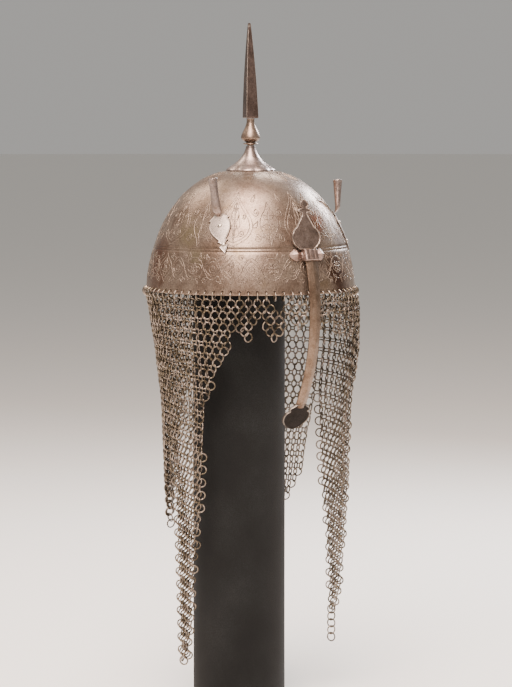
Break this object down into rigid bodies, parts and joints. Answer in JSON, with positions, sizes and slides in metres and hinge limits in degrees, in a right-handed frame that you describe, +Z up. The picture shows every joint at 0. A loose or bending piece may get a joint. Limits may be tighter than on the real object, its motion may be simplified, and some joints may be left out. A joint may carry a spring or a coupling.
{
  "type": "kulah khud helmet on display post",
  "caption": "Persian bowl helmet with a spike, plume sockets, a sliding nasal and a long pointed mail aventail, resting on a plain display post.",
  "frame": {"origin": "underside of the display post, on the helmet's vertical axis", "axes": "+Z up along the helmet's axis, -Y the front (the nasal), +X the wearer's left"},
  "size_m": [0.2113, 0.2182, 0.6819],
  "materials": {
    "bowl_steel": "forged and engraved, brown patina",
    "fitting_steel": "filed, worn bright edges",
    "nasal_steel": "forged, dark patina, bright bevels",
    "mail_steel": "drawn wire rings, dull grey",
    "post_felt": "matte dark cover"
  },
  "bodies": {
    "helmet": {"display_post": "post_felt", "skull_bowl": "bowl_steel", "mail_aventail": "mail_steel", "spike_foot": "fitting_steel", "spike_knop": "fitting_steel", "spike_blade": "fitting_steel", "plume_socket_left": "fitting_steel", "socket_rivet_left_1": "fitting_steel", "socket_rivet_left_2": "fitting_steel", "plume_socket_right": "fitting_steel", "socket_rivet_right_1": "fitting_steel", "socket_rivet_right_2": "fitting_steel", "nasal_bracket": "fitting_steel"},
    "nasal": {"nasal": "nasal_steel"}
  },
  "joints": [
    {"name": "nasal_slide", "type": "hinge", "parent": "helmet", "child": "nasal", "pos_m": [0, 0.073, 0.3975], "axis": [-1, 0, 0], "range_deg": [0, 14]}
  ]
}
